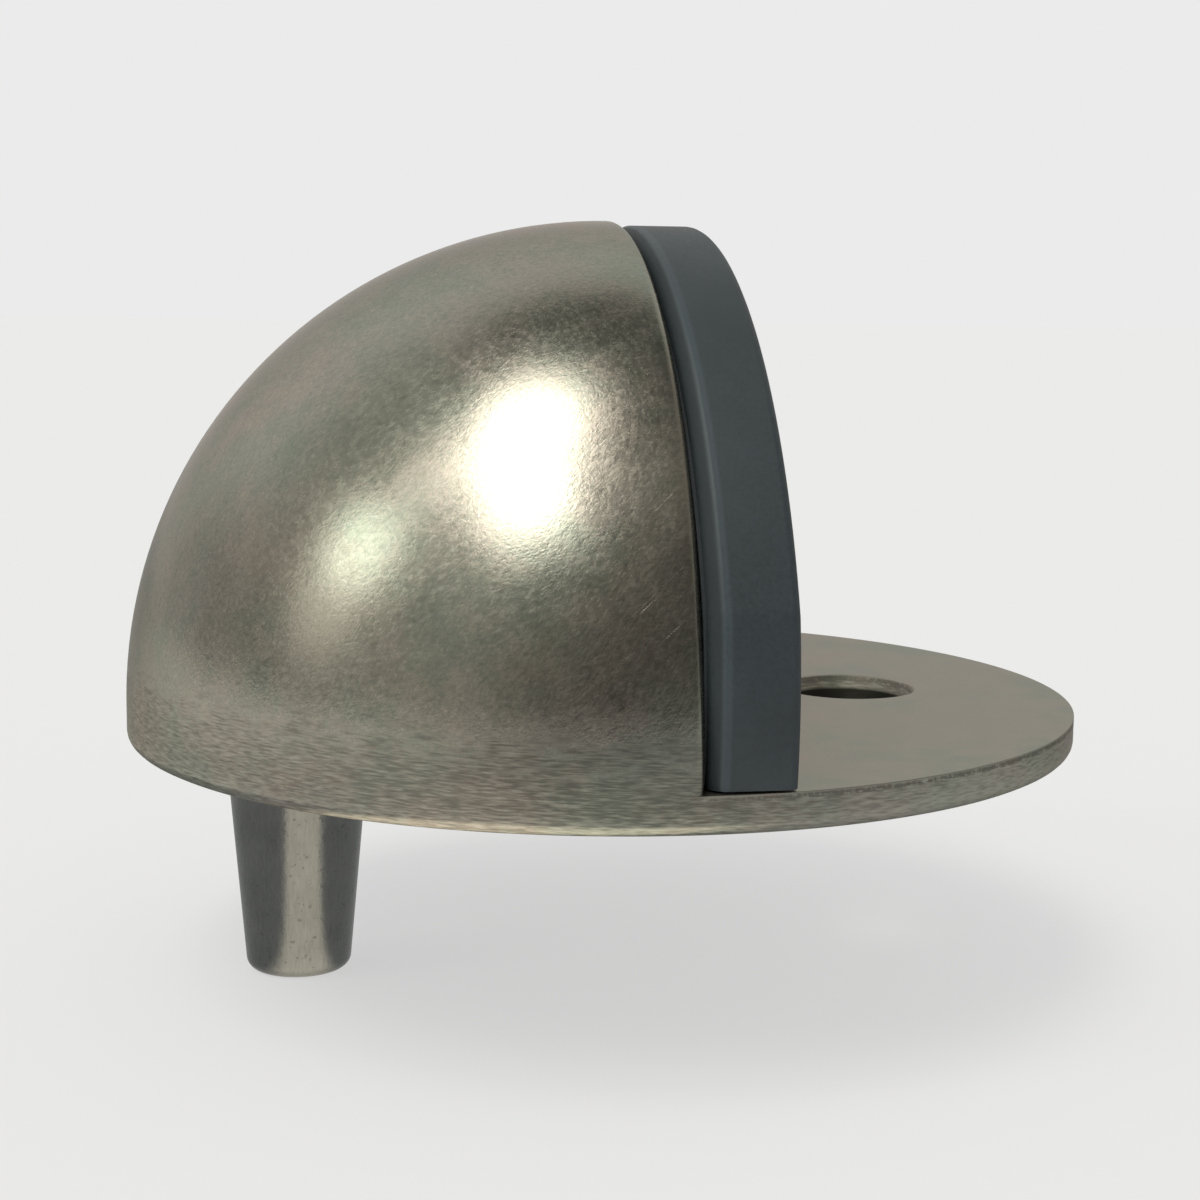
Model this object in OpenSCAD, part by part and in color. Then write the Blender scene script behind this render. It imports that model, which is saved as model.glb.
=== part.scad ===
// Half-dome floor door stop: one cast body (round base and half dome in one piece, hollow
// underneath), a moulded rubber buffer plugged into its flat face, and a tapered locating pin
// pressed into a boss under the dome. Millimetres, +Z up. The origin is the centre of the
// base on the floor, and the buffer faces +X, towards the door.

/* [Base] */
// Diameter of the round base, which the dome also takes
base_d = 45; // [36:0.5:60]
// Thickness of the base
base_t = 1.65; // [1.5:0.05:4]
// Rounding of the base's upper edge, in front of the dome
base_top_round = 0.25; // [0.1:0.05:0.6]
// Rounding of the base's lower edge
base_floor_round = 0.5; // [0.1:0.05:0.8]

/* [Dome] */
// How far the dome's flat face lies in front of the base's centre
face_x = 0.25; // [-2:0.05:3]
// Rounding of the rim between the dome and its flat face
rim_round = 0.6; // [0.2:0.05:1.5]
// Wall of the dome, over the hollow
dome_wall = 2; // [1.2:0.1:4]
// Wall behind the flat face
face_wall = 2.2; // [1.5:0.1:4]
// Thickness of the webs that tie the pin's boss to the walls
web_t = 1.6; // [1:0.1:3]

/* [Screw hole] */
// Distance of the screw hole's axis from the base's front edge
screw_inset = 10.1; // [8:0.1:11]
// Diameter of the clearance hole, for a No. 8 wood screw
screw_hole_d = 4.5; // [3.5:0.1:5.5]
// Straight stretch of the hole left under the countersink
screw_land = 0.55; // [0.3:0.05:1]
// Full angle of the countersink
countersink_angle = 90; // [80:1:110]

/* [Buffer] */
// Thickness of the buffer, from the dome's flat face to its own front
buffer_t = 3.75; // [2.5:0.05:6]
// Width of the groove between the dome's rim and the buffer's rear edge
groove_w = 0.45; // [0.3:0.05:1]
// Depth of that groove, from the buffer's outline
groove_depth = 1; // [0.5:0.1:2]
// How far the buffer's crown lies below the dome's top
crown_drop = 0.2; // [0:0.05:1]
// How much larger the crown arc's radius is than the base's
crown_swell = 1.1; // [0:0.05:2]
// Height of the flank arcs' centre above the base
flank_rise = 2.85; // [0:0.05:5]
// Rounding of the buffer's front edge
front_round = 0.4; // [0.1:0.05:1]
// Rounding of the buffer's rear edge, beside the groove
rear_round = 0.5; // [0.1:0.05:1]
// Gap between the buffer's foot and the base
foot_gap = 0.1; // [0.05:0.05:0.5]

/* [Buffer plugs] */
// Distance between the two plugs that hold the buffer
plug_pitch = 18; // [14:0.5:24]
// Height of the plugs above the base
plug_rise = 8; // [6:0.5:10]
// Diameter of a plug in the wall
plug_d = 4; // [3:0.1:5]
// Diameter of a plug's head behind the wall
plug_head_d = 5.6; // [5.2:0.1:7]
// Length of a plug's head
plug_head_len = 2.2; // [1.5:0.1:3]
// Gap around a plug in its hole
plug_gap = 0.05; // [0.02:0.01:0.2]

/* [Locating pin] */
// Distance of the pin's axis from the base's rear edge
pin_inset = 7.9; // [7:0.1:9.5]
// Diameter of the pin where it leaves the base
pin_root_d = 6.9; // [5:0.1:8]
// Diameter of the pin at its tip, before the rounding
pin_tip_d = 5; // [4:0.1:6]
// Length of the pin below the floor face
pin_len = 11.5; // [6:0.5:20]
// Rounding of the pin's tip
pin_tip_round = 0.6; // [0.2:0.1:1]
// Depth of the pocket that takes the pin's root
pocket_depth = 1.2; // [0.5:0.1:2]
// Diameter of the pin's pressed spigot
spigot_d = 4.8; // [3:0.1:6]
// Length of the spigot above the pocket
spigot_len = 7; // [4:0.5:9]
// Chamfer at the spigot's end
spigot_chamfer = 0.5; // [0.2:0.1:1]
// Free depth left in the bore above the spigot
bore_spare = 0.8; // [0.2:0.1:2]
// Wall of the boss around the pin's root, at the floor face
boss_wall = 1.35; // [1:0.05:2]
// Growth of the boss's diameter up to the dome
boss_draft = 1.4; // [0:0.1:2]
// Gap around the pin in its pocket and its bore
pin_gap = 0.02; // [0.01:0.01:0.1]

/* [Hidden] */
$fn = 96;
base_r = base_d / 2;
core_r = base_r - dome_wall;
face_back = face_x - face_wall;
rim_x = face_x - rim_round;
rim_r = sqrt(pow(base_r - rim_round, 2) - pow(rim_x, 2));
crown_z = base_t - crown_drop - crown_swell;
crown_r = base_r + crown_swell;
flank_z = base_t + flank_rise;
buffer_foot = base_t + foot_gap;
screw_x = base_r - screw_inset;
countersink_depth = base_t - screw_land;
countersink_d = screw_hole_d + 2 * countersink_depth * tan(countersink_angle / 2);
pin_back = base_r - pin_inset;
boss_d = pin_root_d + 2 * boss_wall;
bore_depth = pocket_depth + spigot_len + bore_spare;
over = 1;             // how far a cutting shape runs past the face it cuts
reach = 2 * base_d;   // larger than the part, for half spaces

module above(z) translate([-reach, -reach, z]) cube([2 * reach, 2 * reach, reach]);

module behind(x) translate([x - reach, -reach, -reach]) cube([reach, 2 * reach, 2 * reach]);

// Half outline of a round plate, r across and z up, with its outer corners rounded
module plate_outline(r, z0, z1, low_round, high_round) {
    inner = r - max(low_round, high_round);
    translate([0, z0]) square([inner, z1 - z0]);
    translate([0, z0 + low_round]) square([r, z1 - z0 - low_round - high_round]);
    if (low_round > 0) {
        translate([r - low_round, z0 + low_round]) circle(low_round);
        translate([0, z0]) square([r - low_round, low_round]);
    }
    if (high_round > 0) {
        translate([r - high_round, z1 - high_round]) circle(high_round);
        translate([0, z1 - high_round]) square([r - high_round, high_round]);
    }
}

// A turned shape laid along X through the height z
module turned_along_x(z) translate([0, 0, z]) rotate([0, 90, 0]) rotate_extrude() children();

// Half outline of the dome about its own axis, with the rim to the flat face rounded. The
// rim's arc and the dome's arc meet on the line from the dome's centre through the rim's.
module dome_outline() {
    far = reach / (base_r - rim_round);
    intersection() {
        circle(base_r);
        polygon([[0, 0], [rim_r * far, rim_x * far], [reach, -reach], [0, -reach]]);
    }
    intersection() {
        translate([rim_r, rim_x]) circle(rim_round);
        polygon([[rim_r, rim_x], [rim_r * far, rim_x * far], [rim_r * far, reach], [rim_r, reach]]);
    }
    polygon([[0, 0], [rim_r, rim_x], [rim_r, face_x], [0, face_x]]);
}

module outer_form() {
    rotate_extrude() plate_outline(base_r, 0, base_t, base_floor_round, base_top_round);
    intersection() {
        rotate_extrude() plate_outline(base_r, 0, base_t, base_floor_round, 0);
        behind(rim_x);
    }
    intersection() {
        turned_along_x(base_t) dome_outline();
        above(base_t);
    }
}

// The cored space under the dome, open at the floor
module core_space() {
    intersection() {
        union() {
            translate([0, 0, base_t]) sphere(core_r);
            translate([0, 0, -over]) cylinder(r = core_r, h = base_t + over);
        }
        above(-over);
        behind(face_back);
    }
}

// The boss for the pin, and the web that ties it to the dome's wall and to the face's
module boss_and_webs() {
    translate([-pin_back, 0, 0])
        cylinder(d1 = boss_d, d2 = boss_d + boss_draft, h = base_r);
    translate([-base_r, -web_t / 2, 0]) cube([base_r + face_x, web_t, base_r]);
}

module plug_places() {
    for (side = [-1, 1])
        translate([0, side * plug_pitch / 2, base_t + plug_rise]) rotate([0, 90, 0]) children();
}

module stop_body() {
    color([0.46, 0.45, 0.41])
    difference() {
        outer_form();
        difference() {
            core_space();
            boss_and_webs();
        }
        // Screw hole and its countersink
        translate([screw_x, 0, -over]) cylinder(d = screw_hole_d, h = base_t + 2 * over);
        translate([screw_x, 0, base_t - countersink_depth])
            cylinder(d1 = screw_hole_d, d2 = countersink_d, h = countersink_depth);
        translate([screw_x, 0, base_t]) cylinder(d = countersink_d, h = over);
        // Holes through the face's wall for the buffer's plugs
        plug_places()
            translate([0, 0, face_back - over])
                cylinder(d = plug_d + 2 * plug_gap, h = face_wall + 2 * over);
        // Pocket and bore for the pin
        translate([-pin_back, 0, -over])
            cylinder(d = pin_root_d + 2 * pin_gap, h = pocket_depth + over);
        translate([-pin_back, 0, 0]) cylinder(d = spigot_d + 2 * pin_gap, h = bore_depth);
    }
}

// A slab of the buffer's outline, from x0 to x1: a crown arc cut by two flatter flank arcs
module buffer_slab(x0, x1, inset, low_round, high_round) {
    intersection() {
        turned_along_x(crown_z)
            plate_outline(crown_r - inset, x0, x1, low_round, high_round);
        turned_along_x(flank_z)
            plate_outline(base_r - inset, x0, x1, low_round, high_round);
        above(buffer_foot);
    }
}

module rubber_buffer() {
    color([0.21, 0.24, 0.26]) {
        buffer_slab(face_x, face_x + groove_w, groove_depth, 0, 0);
        buffer_slab(face_x + groove_w, face_x + buffer_t, 0, rear_round, front_round);
        plug_places() {
            translate([0, 0, face_back]) cylinder(d = plug_d, h = face_wall);
            translate([0, 0, face_back - plug_head_len / 2])
                cylinder(d = plug_head_d, h = plug_head_len / 2);
            translate([0, 0, face_back - plug_head_len])
                cylinder(d1 = plug_d - 1, d2 = plug_head_d, h = plug_head_len / 2);
        }
    }
}

// Half outline of the pin: tapered shank with a rounded tip, root in its pocket, spigot
module pin_outline() {
    root_r = pin_root_d / 2;
    tip_r = pin_tip_d / 2;
    spigot_r = spigot_d / 2;
    spigot_top = pocket_depth + spigot_len;
    taper = atan((root_r - tip_r) / pin_len);
    side_r = tip_r + pin_tip_round * tan(taper);
    round_r = side_r - pin_tip_round / cos(taper);
    round_z = pin_tip_round - pin_len;
    translate([round_r, round_z]) circle(pin_tip_round);
    polygon([
        [0, -pin_len],
        [round_r, -pin_len],
        [round_r, round_z],
        [round_r + pin_tip_round * cos(taper), round_z - pin_tip_round * sin(taper)],
        [root_r, 0],
        [root_r, pocket_depth],
        [spigot_r, pocket_depth],
        [spigot_r, spigot_top - spigot_chamfer],
        [spigot_r - spigot_chamfer, spigot_top],
        [0, spigot_top]
    ]);
}

module locating_pin() {
    color([0.33, 0.34, 0.34])
    translate([-pin_back, 0, 0]) rotate_extrude() pin_outline();
}

stop_body();
rubber_buffer();
locating_pin();
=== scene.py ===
import bpy
import bmesh
import math
from mathutils import Matrix, Vector


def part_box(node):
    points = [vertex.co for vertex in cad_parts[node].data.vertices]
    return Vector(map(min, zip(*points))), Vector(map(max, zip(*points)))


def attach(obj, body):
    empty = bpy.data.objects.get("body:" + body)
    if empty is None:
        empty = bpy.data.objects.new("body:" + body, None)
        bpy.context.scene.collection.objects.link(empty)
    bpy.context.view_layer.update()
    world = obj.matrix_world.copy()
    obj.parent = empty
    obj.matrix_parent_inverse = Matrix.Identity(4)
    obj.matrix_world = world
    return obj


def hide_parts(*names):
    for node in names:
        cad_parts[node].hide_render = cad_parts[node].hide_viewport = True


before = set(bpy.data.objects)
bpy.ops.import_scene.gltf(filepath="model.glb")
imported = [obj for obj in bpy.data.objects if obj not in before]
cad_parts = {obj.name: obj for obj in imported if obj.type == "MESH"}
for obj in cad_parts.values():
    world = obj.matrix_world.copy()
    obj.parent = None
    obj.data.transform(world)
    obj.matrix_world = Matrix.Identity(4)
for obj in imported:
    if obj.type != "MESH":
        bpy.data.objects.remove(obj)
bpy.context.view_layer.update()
scene = bpy.context.scene
scene.view_settings.view_transform = "Standard"


# ---- Camera -------------------------------------------------------------------------------
# A long lens a little above the base, seen from the dome's side, so that the buffer shows as
# a narrow band and its front face is turned away.
base_low, base_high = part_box("stop_body")
base_r = (base_high.x - base_low.x) / 2
CAMERA_DISTANCE = 4.596 * base_r
CAMERA_TILT = math.radians(7.967)
CAMERA_TURN = math.radians(9.858)
CAMERA_ROLL = math.radians(0.706)
CAMERA_TARGET = Vector((-0.0033, 0.0, 0.2715)) * base_r
LENS_MM = 64.21

toward_camera = Vector((
    -math.sin(CAMERA_TURN) * math.cos(CAMERA_TILT),
    -math.cos(CAMERA_TURN) * math.cos(CAMERA_TILT),
    math.sin(CAMERA_TILT),
))
level_right = Vector((math.cos(CAMERA_TURN), -math.sin(CAMERA_TURN), 0.0))
level_up = toward_camera.cross(level_right)
camera_right = level_right * math.cos(CAMERA_ROLL) + level_up * math.sin(CAMERA_ROLL)
camera_up = level_up * math.cos(CAMERA_ROLL) - level_right * math.sin(CAMERA_ROLL)
camera_data = bpy.data.cameras.new("camera")
camera_data.sensor_width = 36.0
camera_data.lens = LENS_MM
camera_data.clip_start = 0.005
camera_data.clip_end = 20.0
camera = bpy.data.objects.new("camera", camera_data)
scene.collection.objects.link(camera)
turn = Matrix((camera_right, camera_up, toward_camera)).transposed()
camera.matrix_world = (
    Matrix.Translation(CAMERA_TARGET + toward_camera * CAMERA_DISTANCE) @ turn.to_4x4()
)
scene.camera = camera


# ---- Studio -------------------------------------------------------------------------------
# A pale floor just under the pin's tip, soft lamps high at the camera's left that act as one,
# and weaker ones at the side. Reflections see a room with a pale rear wall and a dim front,
# ceiling and left, and a floor of their own with a bright card beside the pin.
class Signal:
    """A socket of a material's node tree, for shader maths written as expressions."""

    def __init__(self, tree, socket=None):
        self.tree = tree
        self.socket = socket

    def node(self, kind, settings=None, inputs=None, out=0):
        """Adds a node: its settings first, then its sockets. Returns one of its outputs."""
        made = self.tree.nodes.new(kind)
        for name, value in (settings or {}).items():
            setattr(made, name, value)
        for key, value in (inputs or {}).items():
            if isinstance(value, Signal):
                self.tree.links.new(value.socket, made.inputs[key])
            else:
                made.inputs[key].default_value = value
        return Signal(self.tree, made.outputs[out])

    def maths(self, operation, *values):
        return self.node("ShaderNodeMath", {"operation": operation}, dict(enumerate(values)))

    def __add__(self, other):
        return self.maths("ADD", self, other)

    __radd__ = __add__

    def __sub__(self, other):
        return self.maths("SUBTRACT", self, other)

    def __rsub__(self, other):
        return self.maths("SUBTRACT", other, self)

    def __mul__(self, other):
        return self.maths("MULTIPLY", self, other)

    __rmul__ = __mul__

    def __truediv__(self, other):
        return self.maths("DIVIDE", self, other)

    def __pow__(self, other):
        return self.maths("POWER", self, other)

    def step(self, low, high):
        """0 below low, 1 above high, and smooth between them."""
        settings = {"interpolation_type": "SMOOTHSTEP"}
        return self.node(
            "ShaderNodeMapRange", settings, {"Value": self, "From Min": low, "From Max": high}
        )

    def mix(self, low, high):
        """A colour between low, where this signal is 0, and high, where it is 1."""
        return self.node(
            "ShaderNodeMix", {"data_type": "RGBA"}, {0: self, 6: low, 7: high}, out=2
        )


PALE = (0.83, 0.83, 0.83, 1.0)
FILL = 0.57
ROOM_LEVEL = 0.23
REAR_WALL_LEVEL = 0.56
DARK_FRONT_LEVEL = 0.14
WINDOW_LEVEL = 0.16
CEILING_LEVEL = 0.13
DIM_LEFT_LEVEL = 0.27
TINT_SCALE = 2.3
WARM_RED = 1.07
COOL_RED = 0.96
world = bpy.data.worlds.new("room")
scene.world = world
world.use_nodes = True
room = Signal(world.node_tree)
background = world.node_tree.nodes["Background"]
toward = room.node("ShaderNodeTexCoord")
toward_y = room.node("ShaderNodeSeparateXYZ", inputs={0: toward}, out="Y")
toward_z = room.node("ShaderNodeSeparateXYZ", inputs={0: toward}, out="Z")


def facing(x, y, z):
    """How nearly a direction in the room points along x, y, z: 1 when it does."""
    aim = Vector((x, y, z)).normalized()
    return room.node(
        "ShaderNodeVectorMath", {"operation": "DOT_PRODUCT"}, {0: toward, 1: aim}, out="Value"
    )


ceiling = toward_z.step(0.86, 0.93)
rear_wall = toward_y.step(0.10, 0.72) * (1 - ceiling)
dark_front = facing(0.10, -0.96, 0.27).step(0.62, 0.93)
dim_left = facing(-0.80, 0.60, 0.08).step(0.935, 0.99)
window_glow = facing(-0.62, -0.40, 0.62).step(0.55, 0.98)
level = ROOM_LEVEL + REAR_WALL_LEVEL * rear_wall - DARK_FRONT_LEVEL * dark_front
level = level + WINDOW_LEVEL * window_glow
level = level - CEILING_LEVEL * ceiling - DIM_LEFT_LEVEL * dim_left
tint = room.node(
    "ShaderNodeTexNoise", None, {"Vector": toward, "Scale": TINT_SCALE, "Detail": 1.0}
)
blue = 0.87 + 0.09 * rear_wall
warm_level = room.node(
    "ShaderNodeCombineColor", None, {0: level * WARM_RED, 1: level, 2: level * blue}
)
cool_level = room.node(
    "ShaderNodeCombineColor", None, {0: level * COOL_RED, 1: level, 2: level * blue}
)
reflected = tint.step(0.40, 0.60).mix(warm_level, cool_level)
glossy_ray = room.node("ShaderNodeLightPath", out="Is Glossy Ray")
diffuse_ray = room.node("ShaderNodeLightPath", out="Is Diffuse Ray")
fill = (FILL, FILL, FILL, 1.0)
seen = glossy_ray.mix(diffuse_ray.mix(PALE, fill), reflected)
world.node_tree.links.new(seen.socket, background.inputs["Color"])


def soft_lamp(name, azimuth, elevation, spread, strength, colour):
    """A distant round lamp: azimuth is from +Y towards +X, spread its width, all degrees."""
    lamp_data = bpy.data.lights.new(name, "SUN")
    lamp_data.angle = math.radians(spread)
    lamp_data.energy = strength
    lamp_data.color = colour
    lamp = bpy.data.objects.new(name, lamp_data)
    scene.collection.objects.link(lamp)
    turn, rise = math.radians(azimuth), math.radians(elevation)
    away = Vector((
        math.sin(turn) * math.cos(rise), math.cos(turn) * math.cos(rise), math.sin(rise)
    ))
    lamp.rotation_euler = away.to_track_quat("Z", "Y").to_euler()


KEY_COLOUR = (1.0, 0.97, 0.86)
SIDE_COLOUR = (0.90, 1.0, 0.84)
LOW_COLOUR = (1.0, 0.98, 0.84)
soft_lamp("key_lamp_low", -143, 50, 20, 0.32, KEY_COLOUR)
soft_lamp("key_lamp_middle", -132, 64, 25, 0.55, KEY_COLOUR)
soft_lamp("key_lamp_high", -120, 74, 20, 0.32, KEY_COLOUR)
soft_lamp("glow_lamp", -110, 50, 18, 0.09, KEY_COLOUR)
soft_lamp("key_lamp_front", -148, 53, 14, 0.13, KEY_COLOUR)
soft_lamp("side_lamp", -102, 32, 17, 0.22, SIDE_COLOUR)
soft_lamp("side_lamp_low", -99, 18, 18, 0.05, LOW_COLOUR)

FLOOR_SIZE = 6.0
FLOOR_GAP = 0.00002
FLOOR_PALE_SHARE = 0.68
FAR_SHARE = 0.8
CARD_SLANT = -0.14
CARD_SPREAD = 0.52
CARD_LEVEL = 1.5
CARD_EDGE = (-0.0002, 0.0022)
CARD_START = (0.001, 0.003)
CARD_END = (0.035, 0.055)
SIDE_CHANGE = (-0.85, -0.35)
CARD_COLOUR = (1.0, 0.93, 0.78, 1.0)
CARD_DIM = (0.25, 0.257, 0.25, 1.0)
FLOOR_LEFT = (0.84, 0.82, 0.74, 1.0)
FLOOR_RIGHT = (0.41, 0.41, 0.39, 1.0)
pin_low, pin_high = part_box("locating_pin")
bpy.ops.object.select_all(action="DESELECT")
bpy.ops.mesh.primitive_plane_add(size=FLOOR_SIZE, location=(0.0, 0.0, pin_low.z - FLOOR_GAP))
floor = bpy.context.object
floor.name = "floor"
floor_material = bpy.data.materials.new("pale_floor")
floor_material.use_nodes = True
floor_tree = floor_material.node_tree
floor_shader = floor_tree.nodes["Principled BSDF"]
floor_shader.inputs["Base Color"].default_value = PALE
floor_shader.inputs["Roughness"].default_value = 1.0
floor_shader.inputs["Specular IOR Level"].default_value = 0.0
floor_signal = Signal(floor_tree)
lit_floor = Signal(floor_tree, floor_shader.outputs[0])
plain_pale = floor_signal.node("ShaderNodeEmission", None, {"Color": PALE, "Strength": 1.0})
camera_ray = floor_signal.node("ShaderNodeLightPath", out="Is Camera Ray")
clear_ray = floor_signal.node("ShaderNodeLightPath", out="Is Transmission Ray")
# What only reflections see: a floor that is pale at the left and dim at the right, and near
# the pin a dim disc with a bright fan-shaped card in it, which puts the stripe on the pin
floor_at = floor_signal.node("ShaderNodeTexCoord", out="Object")
floor_x = floor_signal.node("ShaderNodeSeparateXYZ", inputs={0: floor_at}, out="X")
floor_y = floor_signal.node("ShaderNodeSeparateXYZ", inputs={0: floor_at}, out="Y")
pin_x = (pin_low.x + pin_high.x) / 2
aside = floor_x - pin_x + CARD_SLANT * floor_y * -1
ahead = floor_y * -1
in_fan = 1 - (aside.maths("ABSOLUTE", aside) - CARD_SPREAD * ahead).step(*CARD_EDGE)
in_fan = in_fan * ahead.step(*CARD_START)
from_pin = ((floor_x - pin_x) ** 2 + floor_y ** 2) ** 0.5
on_card = from_pin.step(*CARD_START) * (1 - from_pin.step(*CARD_END))
card_colour = in_fan.mix(CARD_DIM, CARD_COLOUR)
from_base = (floor_x ** 2 + floor_y ** 2) ** 0.5
far_floor = (floor_x / from_base).step(*SIDE_CHANGE).mix(FLOOR_LEFT, FLOOR_RIGHT)
mirror_ray = floor_signal.node("ShaderNodeLightPath", out="Is Glossy Ray")
card = floor_signal.node(
    "ShaderNodeEmission", None, {"Color": card_colour, "Strength": CARD_LEVEL}
)
far_glow = floor_signal.node("ShaderNodeEmission", None, {"Color": far_floor, "Strength": 1.0})
lit_floor = floor_signal.node(
    "ShaderNodeMixShader", None, {0: mirror_ray * FAR_SHARE, 1: lit_floor, 2: far_glow}
)
lit_floor = floor_signal.node(
    "ShaderNodeMixShader", None, {0: mirror_ray * on_card, 1: lit_floor, 2: card}
)
paled = floor_signal.node(
    "ShaderNodeMixShader", None,
    {0: (camera_ray + clear_ray) * FLOOR_PALE_SHARE, 1: lit_floor, 2: plain_pale},
)
under_side = floor_signal.node("ShaderNodeNewGeometry", out="Backfacing")
see_through = floor_signal.node("ShaderNodeBsdfTransparent")
floor_mix = floor_signal.node(
    "ShaderNodeMixShader", None, {0: under_side, 1: paled, 2: see_through}
)
floor_tree.links.new(floor_mix.socket, floor_tree.nodes["Material Output"].inputs["Surface"])
floor.data.materials.append(floor_material)


# ---- Cast body ----------------------------------------------------------------------------
# Round base and half dome in one zinc casting, cored out underneath, with a countersunk screw
# hole. It is nickel plated and scratch-brushed by hand: fine crossed scratches on the dome,
# and short streaks round its foot and the edge of the base.
MM = 0.001
PLATE_T = 1.65 * MM
FACE_X = 0.25 * MM
RIM_ROUND = 0.42 * MM
PLATE_TOP_ROUND = 0.22 * MM
PLATE_FLOOR_ROUND = 0.5 * MM
DOME_WALL = 2.0 * MM
FACE_WALL = 2.2 * MM
WEB_T = 1.6 * MM
ARC_POINTS = 200
DOME_STEPS = 96
CORE_POINTS = 96
HOLE_POINTS = 48
SCREW_POINTS = 96
FLOOR_ROUND_STEPS = 5
ARC_CLEAR = 0.3 * MM
MERGE = 0.002 * MM
SCREW_X = base_high.x - 10.1 * MM
SCREW_HOLE_R = 2.25 * MM
SCREW_LAND = 0.55 * MM
COUNTERSINK_R = 3.35 * MM
COUNTERSINK_LIP = 0.12 * MM
PLUG_Y = 9.0 * MM
PLUG_Z = PLATE_T + 8.0 * MM
PLUG_HOLE_R = 2.05 * MM
PIN_POCKET_R = 3.47 * MM
PIN_BORE_R = 2.42 * MM
POCKET_DEPTH = 1.2 * MM
BORE_DEPTH = 9.0 * MM
BOSS_R = 4.8 * MM
BOSS_TOP_R = 5.5 * MM
BOSS_START = 2 * MM
FADE_DEGREES = 14
LEAST_ROUND = 0.04


def pick(kind, test):
    """Selects the vertices, edges or faces whose corners all pass the test, in edit mode."""
    bpy.ops.mesh.select_all(action="DESELECT")
    bpy.ops.mesh.select_mode(type=kind)
    shape = bmesh.from_edit_mesh(bpy.context.object.data)
    for part in {"VERT": shape.verts, "EDGE": shape.edges, "FACE": shape.faces}[kind]:
        corners = [part] if kind == "VERT" else part.verts
        if all(test(corner.co) for corner in corners):
            part.select_set(True)
    shape.select_flush_mode()
    bmesh.update_edit_mesh(bpy.context.object.data)


def edit_new(name):
    """Names a new primitive, fixes its place in its mesh and opens it in edit mode."""
    bpy.ops.object.transform_apply()
    bpy.context.object.name = name
    bpy.context.object.data.name = name
    bpy.ops.object.mode_set(mode="EDIT")
    bpy.ops.mesh.select_all(action="SELECT")
    return bpy.context.object


def grow(step, scale=None, center=(0.0, 0.0, 0.0)):
    """Extrudes what is selected by a step, then sizes the new end about a centre."""
    bpy.ops.mesh.extrude_region_move(TRANSFORM_OT_translate={"value": step})
    if scale:
        bpy.ops.transform.resize(value=scale, center_override=center)


def cut_away(point, normal, fill=False):
    """Cuts the whole mesh by a plane and removes what lies on the normal's side."""
    bpy.ops.mesh.select_all(action="SELECT")
    bpy.ops.mesh.bisect(
        plane_co=point, plane_no=normal, clear_outer=True, use_fill=fill, threshold=MERGE / 10
    )


def close_mesh():
    """Merges doubles, turns the faces outwards and leaves edit mode."""
    bpy.ops.mesh.select_all(action="SELECT")
    bpy.ops.mesh.remove_doubles(threshold=MERGE)
    bpy.ops.mesh.normals_make_consistent(inside=False)
    bpy.ops.object.mode_set(mode="OBJECT")


def apply(piece, kind, **settings):
    """Adds a modifier to a piece and applies it."""
    bpy.context.view_layer.objects.active = piece
    modifier = piece.modifiers.new(kind.lower(), kind)
    for name, value in settings.items():
        setattr(modifier, name, value)
    bpy.ops.object.modifier_apply(modifier=modifier.name)


def combine(piece, other, operation):
    """Cuts, joins or crosses a piece with another, which is used up."""
    apply(piece, "BOOLEAN", object=other, operation=operation, solver="EXACT")
    bpy.data.objects.remove(other)


def smooth(piece, angle):
    """Smooth shading up to an angle, with flat faces kept flat beside rounded edges."""
    bpy.ops.object.select_all(action="DESELECT")
    piece.select_set(True)
    bpy.context.view_layer.objects.active = piece
    bpy.ops.object.shade_smooth_by_angle(angle=math.radians(angle))
    apply(piece, "WEIGHTED_NORMAL", keep_sharp=True, weight=100)


def turned(name, at, rings, segments=64):
    """A closed turned solid about the upright line at x, y, from (radius, z) rings."""
    first_r, first_z = rings[0]
    bpy.ops.object.select_all(action="DESELECT")
    bpy.ops.mesh.primitive_circle_add(
        vertices=segments, radius=first_r, location=(at[0], at[1], first_z), fill_type="NGON"
    )
    solid = edit_new(name)
    for (r, z), (last_r, last_z) in zip(rings[1:], rings):
        size = r / last_r
        grow((0, 0, z - last_z), (size, size, 1), (at[0], at[1], z))
    close_mesh()
    return solid


# The dome's outline, spun half a turn about the lengthwise axis through its seam
bpy.ops.object.select_all(action="DESELECT")
bpy.ops.mesh.primitive_circle_add(
    vertices=ARC_POINTS, radius=base_r, location=(0, 0, PLATE_T)
)
body = edit_new("stop_body_cast")
cut_away((FACE_X, 0, 0), (1, 0, 0))
cut_away((0, 0, 0), (0, -1, 0))
pick("VERT", lambda at: -ARC_CLEAR < at.x < FACE_X - MERGE)
bpy.ops.mesh.dissolve_verts()
pick("VERT", lambda at: at.x > FACE_X - MERGE)
grow((0, -base_r, 0), (1, 0, 1))
pick("VERT", lambda at: at.x > FACE_X - MERGE and at.y > MM)
bpy.ops.mesh.bevel(offset=RIM_ROUND, segments=6, affect="VERTICES")
bpy.ops.mesh.select_all(action="SELECT")
bpy.ops.mesh.spin(steps=DOME_STEPS, angle=-math.pi, center=(0, 0, PLATE_T), axis=(1, 0, 0))
bpy.ops.mesh.select_all(action="SELECT")
bpy.ops.mesh.remove_doubles(threshold=MERGE)
pick("FACE", lambda at: at.x > FACE_X - MERGE)
bpy.ops.mesh.dissolve_faces()

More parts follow.
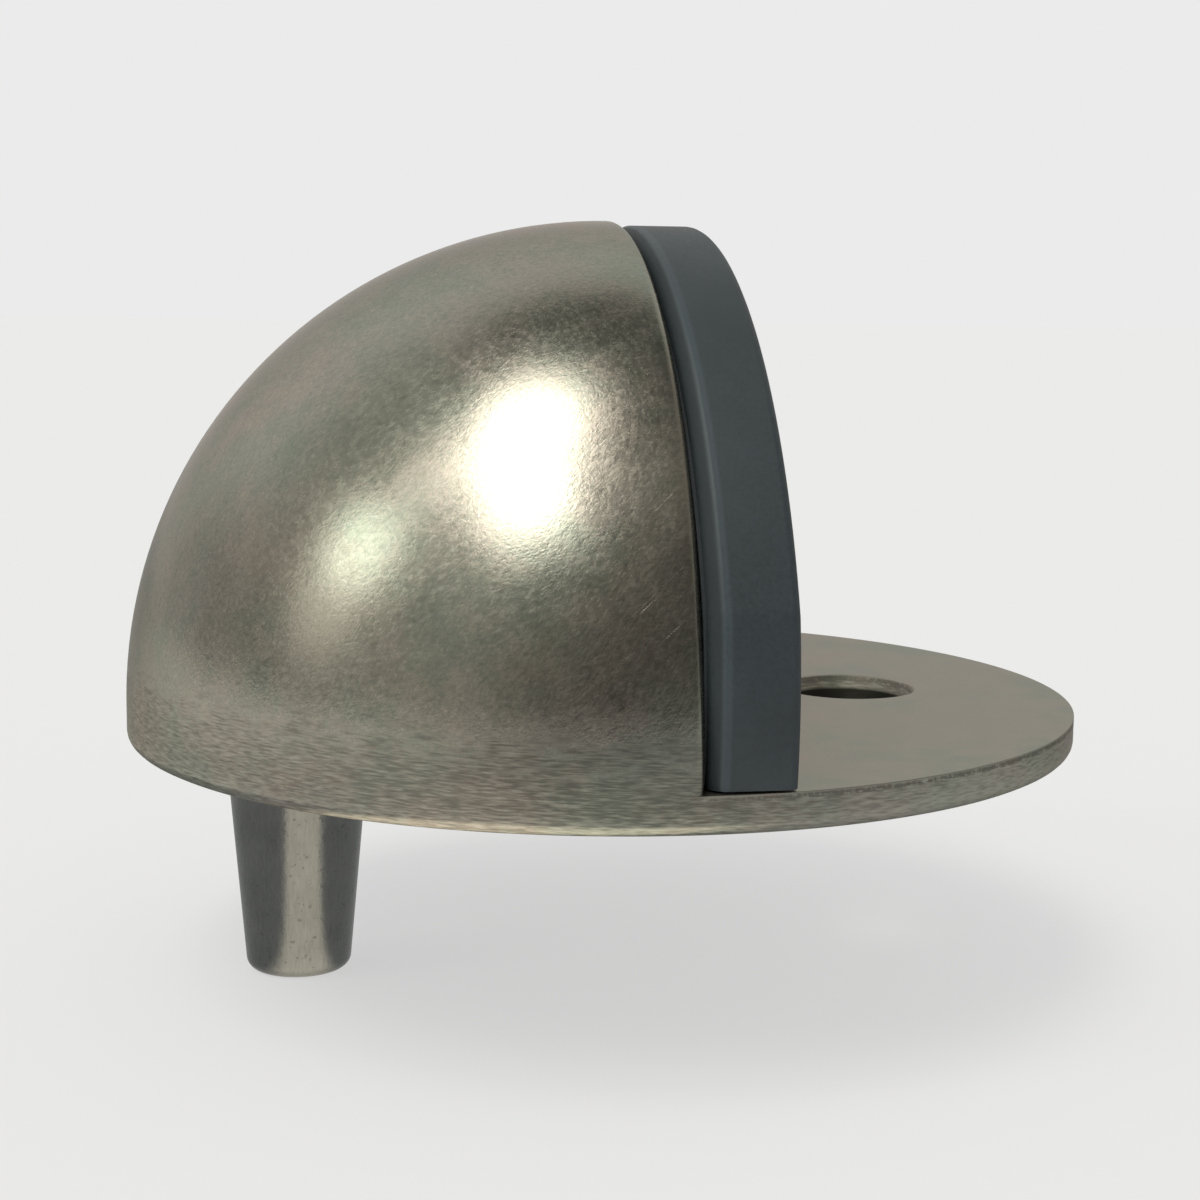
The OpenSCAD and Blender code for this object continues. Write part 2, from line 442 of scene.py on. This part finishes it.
# The plate's front edge, spun about the upright axis, and the plate's top
shape = bmesh.from_edit_mesh(body.data)
seam = [v.co.copy() for v in shape.verts if abs(v.co.z - PLATE_T) < MERGE]
full_r = [co for co in seam if math.hypot(co.x, co.y) > base_r - MERGE and co.y > 0]
arc_end = max(full_r, key=lambda co: co.x)
end_angle = math.atan2(arc_end.y, arc_end.x)
pick("VERT", lambda at: (at - arc_end).length < MERGE)
bpy.ops.mesh.spin(
    steps=ARC_POINTS // 2, angle=2 * end_angle, center=(0, 0, PLATE_T), axis=(0, 0, 1)
)
bpy.ops.mesh.select_all(action="SELECT")
bpy.ops.mesh.remove_doubles(threshold=MERGE)


def on_front_outline(at):
    return abs(at.z - PLATE_T) < MERGE and at.x > arc_end.x - MERGE


def on_edge_ring(at):
    return abs(at.z - PLATE_T) < MERGE and math.hypot(at.x, at.y) > base_r - 2 * MERGE


pick("EDGE", on_front_outline)
bpy.ops.mesh.edge_face_add()
pick("EDGE", on_edge_ring)
grow((0, 0, PLATE_FLOOR_ROUND - PLATE_T))
arc_step = 90 // FLOOR_ROUND_STEPS
for step in range(1, FLOOR_ROUND_STEPS + 1):
    angle, last = math.radians(arc_step * step), math.radians(arc_step * (step - 1))
    ring = base_r - PLATE_FLOOR_ROUND * (1 - math.cos(angle))
    last_ring = base_r - PLATE_FLOOR_ROUND * (1 - math.cos(last))
    drop = PLATE_FLOOR_ROUND * (math.sin(angle) - math.sin(last))
    grow((0, 0, -drop), (ring / last_ring, ring / last_ring, 1))
bpy.ops.mesh.edge_face_add()
close_mesh()

# The plate's upper edge is rounded, and the rounding fades out beside the dome
weights = body.data.attributes.new("bevel_weight_edge", "FLOAT", "EDGE")
for edge in body.data.edges:
    ends = [body.data.vertices[index].co for index in edge.vertices]
    if all(on_edge_ring(end) and end.x > arc_end.x - MERGE for end in ends):
        middle = (ends[0] + ends[1]) / 2
        from_end = end_angle - abs(math.atan2(middle.y, middle.x))
        beside = from_end / math.radians(FADE_DEGREES)
        weights.data[edge.index].value = min(1.0, LEAST_ROUND + beside)
apply(body, "BEVEL", width=PLATE_TOP_ROUND, segments=3, limit_method="WEIGHT")

# The cored space, less the pin's boss and the web
bpy.ops.object.select_all(action="DESELECT")
bpy.ops.mesh.primitive_uv_sphere_add(
    segments=CORE_POINTS, ring_count=CORE_POINTS // 2, radius=base_r - DOME_WALL,
    location=(0, 0, PLATE_T),
)
core = edit_new("core")
cut_away((0, 0, PLATE_T), (0, 0, -1), fill=True)
pick("FACE", lambda at: at.z < PLATE_T + MERGE)
grow((0, 0, -PLATE_T - MM))
cut_away((FACE_X - FACE_WALL, 0, 0), (1, 0, 0), fill=True)
close_mesh()
boss_grow = (BOSS_TOP_R - BOSS_R) / base_r
boss_rings = [(BOSS_R - boss_grow * BOSS_START, -BOSS_START), (BOSS_TOP_R, base_r)]
boss = turned("boss", (pin_x, 0), boss_rings)
combine(core, boss, "DIFFERENCE")
bpy.ops.mesh.primitive_cube_add(
    size=1, location=(0, 0, base_r / 2), scale=(4 * base_r, WEB_T, 4 * base_r)
)
web = edit_new("web")
close_mesh()
combine(core, web, "DIFFERENCE")
combine(body, core, "DIFFERENCE")

# Screw hole with its countersink, the holes for the buffer's plugs, the pin's pocket and bore
screw_rings = [
    (SCREW_HOLE_R, -MM),
    (SCREW_HOLE_R, SCREW_LAND),
    (COUNTERSINK_R - COUNTERSINK_LIP / 2, PLATE_T - COUNTERSINK_LIP / 2),
    (COUNTERSINK_R + COUNTERSINK_LIP / 6, PLATE_T - COUNTERSINK_LIP / 6),
    (COUNTERSINK_R + COUNTERSINK_LIP, PLATE_T + COUNTERSINK_LIP / 12),
    (COUNTERSINK_R + COUNTERSINK_LIP, PLATE_T + MM),
]
combine(body, turned("screw_hole", (SCREW_X, 0), screw_rings, SCREW_POINTS), "DIFFERENCE")
for side in (-1, 1):
    bpy.ops.object.select_all(action="DESELECT")
    bpy.ops.mesh.primitive_cylinder_add(
        vertices=HOLE_POINTS, radius=PLUG_HOLE_R, depth=4 * FACE_WALL,
        location=(FACE_X, side * PLUG_Y, PLUG_Z), rotation=(0, math.pi / 2, 0),
    )
    plug_hole = edit_new("plug_hole")
    close_mesh()
    combine(body, plug_hole, "DIFFERENCE")
pocket_rings = [
    (PIN_POCKET_R, -MM),
    (PIN_POCKET_R, POCKET_DEPTH),
    (PIN_BORE_R, POCKET_DEPTH),
    (PIN_BORE_R, BORE_DEPTH),
]
combine(body, turned("pin_pocket", (pin_x, 0), pocket_rings), "DIFFERENCE")
smooth(body, 32)


class Finish(Signal):
    """A new material: its node tree, the object's coordinates and its shader."""

    def __init__(self, name, base, rough, metallic=0.0):
        material = bpy.data.materials.new(name)
        material.use_nodes = True
        super().__init__(material.node_tree)
        self.material = material
        self.shader = material.node_tree.nodes["Principled BSDF"]
        self.shader.inputs["Base Color"].default_value = (*base, 1.0)
        self.shader.inputs["Roughness"].default_value = rough
        self.shader.inputs["Metallic"].default_value = metallic
        self.at = self.node("ShaderNodeTexCoord", out="Object")
        self.x = self.node("ShaderNodeSeparateXYZ", inputs={0: self.at}, out="X")
        self.y = self.node("ShaderNodeSeparateXYZ", inputs={0: self.at}, out="Y")
        self.z = self.node("ShaderNodeSeparateXYZ", inputs={0: self.at}, out="Z")

    def noise(self, size, detail=2.0, stretch=(1, 1, 1), turn=(0, 0, 0), shift=0.0, warp=0.0):
        """Cloudy noise with features of a size, longer along an axis by its stretch."""
        scale = tuple(1 / (size * s) for s in stretch)
        rotation = tuple(math.radians(a) for a in turn)
        settings = {"vector_type": "POINT"}
        turned_at = self.node(
            "ShaderNodeMapping", settings, {"Vector": self.at, "Rotation": rotation}
        )
        sized_at = self.node(
            "ShaderNodeMapping", settings,
            {"Vector": turned_at, "Scale": scale, "Location": (shift, shift, shift)},
        )
        inputs = {"Vector": sized_at, "Scale": 1.0, "Detail": detail, "Distortion": warp}
        return self.node("ShaderNodeTexNoise", {"noise_dimensions": "3D"}, inputs)

    def set(self, name, signal):
        self.tree.links.new(signal.socket, self.shader.inputs[name])

    def bump(self, height, distance):
        normal = self.node("ShaderNodeBump", None, {"Height": height, "Distance": distance})
        self.set("Normal", normal)


nickel = Finish("satin_nickel", (0.42, 0.40, 0.36), 0.3, metallic=1.0)
nickel.shader.inputs["Specular Tint"].default_value = (0.55, 0.54, 0.52, 1.0)
on_plate = nickel.x.step(FACE_X, FACE_X + 0.1 * MM)
plate_top = on_plate * nickel.z.step(PLATE_T - 0.15 * MM, PLATE_T - 0.02 * MM)
from_screw = ((nickel.x - SCREW_X) ** 2 + nickel.y ** 2) ** 0.5
in_screw_hole = 1 - from_screw.step(COUNTERSINK_R - 0.25 * MM, COUNTERSINK_R)
ragged = nickel.noise(0.9 * MM, 3, stretch=(1.6, 1.6, 0.5))
foot = 1 - (nickel.z + (ragged - 0.5) * 5 * MM).step(2.2 * MM, 4.6 * MM)
under = 1 - nickel.z.step(0.01 * MM, 0.06 * MM)
foot = foot * (1 - plate_top) * (1 - under)
dome = (1 - foot) * (1 - plate_top)

# Crossed strokes of the scratch brush, in four directions
strokes = [
    nickel.noise(0.08 * MM, 1, stretch=(4, 4, 1), turn=(24, 8, 0), shift=3),
    nickel.noise(0.09 * MM, 1, stretch=(4, 4, 1), turn=(-38, 30, 0), shift=11),
    nickel.noise(0.08 * MM, 1, stretch=(1, 4, 4), turn=(12, -35, 20), shift=23),
    nickel.noise(0.09 * MM, 1, stretch=(4, 1, 4), turn=(40, 0, 35), shift=31),
]
wiry = (strokes[0] + strokes[1] + strokes[2] + strokes[3]) / 4
mottle = nickel.noise(0.17 * MM, 3, shift=5, warp=0.6)
patches = nickel.noise(1.3 * MM, 3, shift=7)
clouds = nickel.noise(7.0 * MM, 2, shift=9)
streaks = nickel.noise(0.075 * MM, 3, stretch=(9, 9, 1), turn=(1.5, -1.5, 0), shift=13)
fine_grain = nickel.noise(0.09 * MM, 2, shift=17)
specks = nickel.noise(0.21 * MM, 0, shift=19).step(0.74, 0.80)
scratch_field = nickel.noise(0.11 * MM, 0, stretch=(26, 26, 1), turn=(0, 40, 0), shift=29)
scratches = scratch_field.step(0.80, 0.84)

tone = 0.74 + (wiry - 0.5) * 0.5 * dome + (mottle - 0.5) * 0.34 * dome
tone = tone + (streaks - 0.5) * 1.6 * foot + (fine_grain - 0.5) * 0.18 * plate_top
tone = tone + (patches - 0.5) * 0.14 + specks * 0.12 * dome + scratches * 0.04
# Painted reflection on the foot of the dome and the base's edge: it is painted darker overall,
# then lighter again over its lowest millimetre, at the dome's back away from the buffer, and
# towards the buffer's end
painted_low_reflection = 1 - nickel.z.step(0.2 * MM, 1.1 * MM)
top_line = (nickel.z.step(PLATE_T - 0.34 * MM, PLATE_T - 0.14 * MM) - plate_top) * on_plate
# On this line the countersink is also painted darker: painted shade in the recess
tone = tone - 0.24 * foot + 0.18 * painted_low_reflection * foot + 0.05 * plate_top - 0.22 * in_screw_hole
painted_rear_reflection = foot * (1 - nickel.x.step(-21 * MM, -9 * MM))
toward_front = nickel.x.step(-4 * MM, 14 * MM)
tone = tone + 0.30 * foot * toward_front + 0.14 * painted_rear_reflection
# A darker broken line along the base's upper rounded edge, stronger towards the buffer's end
broken_edge_darkening = top_line * (0.25 + toward_front) * (mottle * 0.7 + ragged * 0.3).step(0.36, 0.60)
tone = tone - broken_edge_darkening * 0.75

# The lower part of the screw hole is painted dark: painted shade standing for the unlit bore of
# a shallower countersink
deep = nickel.z.step(PLATE_T - 0.66 * MM, PLATE_T - 0.50 * MM)
painted_bore_shade = in_screw_hole * (1 - under) * (1 - deep)
painted_bore_dark = (0.035, 0.035, 0.03, 1)
warm_dark, warm_light = (0.23, 0.205, 0.18, 1), (0.57, 0.525, 0.47, 1)
olive_dark, olive_light = (0.195, 0.205, 0.175, 1), (0.50, 0.515, 0.45, 1)
warmth = (clouds * 0.6 + patches * 0.25 + mottle * 0.25).step(0.44, 0.64)
tone_step = tone.step(0.2, 1.2)
plating = warmth.mix(
    tone_step.mix(olive_dark, olive_light), tone_step.mix(warm_dark, warm_light)
)
nickel.set("Base Color", painted_bore_shade.mix(plating, painted_bore_dark))
rough = 0.25 + 0.12 * under + (wiry - 0.5) * 0.38 * dome + (patches - 0.5) * 0.10 + foot * 0.10
rough = rough + plate_top * 0.12 + (streaks - 0.5) * 0.3 * foot + in_screw_hole * 0.25
nickel.set("Roughness", rough)
height = (wiry - 0.5) * 1.0 * dome + (mottle - 0.5) * 0.45 * dome + (streaks - 0.5) * 0.5 * foot
height = height + (fine_grain - 0.5) * 0.25 - scratches * 0.2 + (patches - 0.5) * 0.5
at_rim = nickel.x.step(FACE_X - 0.4 * MM, FACE_X - 0.15 * MM) * (1 - on_plate)
nickel.bump(height * (1 - at_rim), 0.0078 * MM)
body.data.materials.append(nickel.material)
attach(body, "root")
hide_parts("stop_body")


# ---- Rubber buffer ------------------------------------------------------------------------
# One moulding of dark blue-grey rubber on the dome's flat face. Its outline is a crown arc
# over two flank arcs, and two plugs moulded on its back hold it in the wall behind the face.
buffer_low, buffer_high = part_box("rubber_buffer")
CROWN_Z = 0.35 * MM
CROWN_R = base_r + 1.1 * MM
FLANK_Z = 4.5 * MM
FLANK_R = base_r
MEET_Z = 8.535 * MM
GROOVE_W = 0.15 * MM
GROOVE_DEPTH = 0.75 * MM
FRONT_ROUND = 0.4 * MM
REAR_ROUND = 0.62 * MM
REAR_PROFILE = 0.33
PLUG_R = 2.0 * MM
PLUG_HEAD_R = 2.8 * MM
PLUG_END_R = 1.5 * MM
PLUG_HEAD_LEN = 2.2 * MM
PLUG_ROOT_DEPTH = 0.3 * MM
OUTLINE_POINTS = 240
OUTLINE_MERGE = 0.05 * MM
buffer_rear = FACE_X + GROOVE_W

bpy.ops.object.select_all(action="DESELECT")
upright = (math.pi / 2, 0, math.pi / 2)
bpy.ops.mesh.primitive_circle_add(
    vertices=OUTLINE_POINTS, radius=CROWN_R, location=(buffer_rear, 0, CROWN_Z), rotation=upright
)
buffer = edit_new("door_buffer")
cut_away((0, 0, MEET_Z), (0, 0, -1))
bpy.ops.object.mode_set(mode="OBJECT")
bpy.ops.object.select_all(action="DESELECT")
bpy.ops.mesh.primitive_circle_add(
    vertices=OUTLINE_POINTS, radius=FLANK_R, location=(buffer_rear, 0, FLANK_Z), rotation=upright
)
edit_new("flanks")
cut_away((0, 0, MEET_Z), (0, 0, 1))
cut_away((0, 0, buffer_low.z), (0, 0, -1))
bpy.ops.object.mode_set(mode="OBJECT")
buffer.select_set(True)
bpy.context.view_layer.objects.active = buffer
bpy.ops.object.join()
bpy.ops.object.mode_set(mode="EDIT")
bpy.ops.mesh.select_all(action="SELECT")
bpy.ops.mesh.remove_doubles(threshold=OUTLINE_MERGE)
bpy.ops.mesh.select_all(action="SELECT")
bpy.ops.mesh.edge_face_add()
grow((buffer_high.x - buffer_rear, 0, 0))


def pick_outline(x):
    """Selects the outline's arcs at x, without the straight edge of the foot."""
    pick("EDGE", lambda at: abs(at.x - x) < MERGE)
    shape = bmesh.from_edit_mesh(bpy.context.object.data)
    for edge in shape.edges:
        if all(corner.co.z < buffer_low.z + MERGE for corner in edge.verts):
            edge.select_set(False)
    shape.select_flush_mode()
    bmesh.update_edit_mesh(bpy.context.object.data)


pick_outline(buffer_high.x)
bpy.ops.mesh.bevel(offset=FRONT_ROUND, segments=5)
pick_outline(buffer_rear)
bpy.ops.mesh.bevel(offset=REAR_ROUND, segments=4, profile=REAR_PROFILE)
pick("FACE", lambda at: at.x < buffer_rear + MERGE)
bpy.ops.mesh.inset(thickness=GROOVE_DEPTH - REAR_ROUND, depth=0)
grow((-GROOVE_W, 0, 0))
close_mesh()

# Each plug has a shank through the wall, and a head that tapers to enter the hole
wall_back = FACE_X - FACE_WALL
plug_root = buffer_rear + PLUG_ROOT_DEPTH
for side in (-1, 1):
    axis_at = (plug_root, side * PLUG_Y, PLUG_Z)
    bpy.ops.object.select_all(action="DESELECT")
    bpy.ops.mesh.primitive_circle_add(
        vertices=HOLE_POINTS, radius=PLUG_R, location=axis_at, rotation=upright,
        fill_type="NGON",
    )
    plug = edit_new("plug")
    head_size, end_size = PLUG_HEAD_R / PLUG_R, PLUG_END_R / PLUG_HEAD_R
    grow((wall_back - plug_root, 0, 0))
    grow((0, 0, 0), (1, head_size, head_size), axis_at)
    grow((-PLUG_HEAD_LEN / 2, 0, 0))
    grow((-PLUG_HEAD_LEN / 2, 0, 0), (1, end_size, end_size), axis_at)
    close_mesh()
    combine(buffer, plug, "UNION")
smooth(buffer, 32)
rubber = Finish("buffer_rubber", (0.04, 0.05, 0.057), 0.55)
grain = rubber.noise(0.16 * MM, 3)
cast = rubber.noise(3.5 * MM, 2, shift=4)
# The rear chamfer beside the dome is painted darker, painted shade of the groove, and the narrow
# band just past it is painted lighter, a painted highlight on the rounded ridge
on_chamfer = 1 - rubber.x.step(buffer_rear + 0.35 * MM, buffer_rear + 0.55 * MM)
past_ridge = rubber.x.step(buffer_rear + 0.72 * MM, buffer_rear + 0.9 * MM)
painted_ridge_highlight = (1 - on_chamfer) * (1 - past_ridge)
shade = 0.42 + (grain - 0.5) * 0.5 + (cast - 0.5) * 0.4 - on_chamfer * 0.36 + painted_ridge_highlight * 0.4
rubber_dark, rubber_light = (0.009, 0.014, 0.018, 1), (0.058, 0.078, 0.092, 1)
rubber.set("Base Color", shade.step(-0.5, 1.5).mix(rubber_dark, rubber_light))
rubber.set("Roughness", 0.56 + (grain - 0.5) * 0.3 + on_chamfer * 0.1)
rubber.bump((grain - 0.5) + (cast - 0.5) * 6, 0.006 * MM)
buffer.data.materials.append(rubber.material)
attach(buffer, "root")
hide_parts("rubber_buffer")


# ---- Locating pin -------------------------------------------------------------------------
# A tapered metal pin with a rounded tip, nickel plated and left smooth, without the body's
# brush marks. Its root sits in a pocket and its spigot is pressed into the boss.
PIN_ROOT_R = 3.45 * MM
PIN_TIP_R = 2.5 * MM
PIN_TIP_ROUND = 0.6 * MM
SPIGOT_R = 2.4 * MM
SPIGOT_CHAMFER = 0.5 * MM
TIP_STEPS = 6
pin_rings = []
for step in range(TIP_STEPS + 1):
    angle = math.radians(90 // TIP_STEPS * step)
    r = PIN_TIP_R - PIN_TIP_ROUND + PIN_TIP_ROUND * math.sin(angle)
    pin_rings.append((r, pin_low.z + PIN_TIP_ROUND * (1 - math.cos(angle))))
pin_rings += [
    (PIN_ROOT_R, 0.0),
    (PIN_ROOT_R, POCKET_DEPTH),
    (SPIGOT_R, POCKET_DEPTH),
    (SPIGOT_R, pin_high.z - SPIGOT_CHAMFER),
    (SPIGOT_R - SPIGOT_CHAMFER, pin_high.z),
]
pin = turned("locating_pin_turned", (pin_x, 0), pin_rings)
smooth(pin, 32)
plated = Finish("pin_nickel", (0.34, 0.34, 0.33), 0.3, metallic=1.0)
pit_field = plated.noise(0.22 * MM, 2)
pits = pit_field.step(0.62, 0.72)
drawn = plated.noise(0.10 * MM, 2, stretch=(1, 1, 8), shift=6)
haze = plated.noise(1.6 * MM, 2, shift=8)
shade = 0.6 + (drawn - 0.5) * 0.35 + (haze - 0.5) * 0.35 - pits * 0.18
pin_dark, pin_light = (0.10, 0.105, 0.105, 1), (0.27, 0.27, 0.262, 1)
plated.set("Base Color", shade.step(0, 1).mix(pin_dark, pin_light))
plated.set("Roughness", 0.24 + (haze - 0.5) * 0.10 + pits * 0.15)
plated.bump((pit_field - 0.5) * 1.0 + (drawn - 0.5) * 0.3, 0.006 * MM)
pin.data.materials.append(plated.material)
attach(pin, "root")
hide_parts("locating_pin")
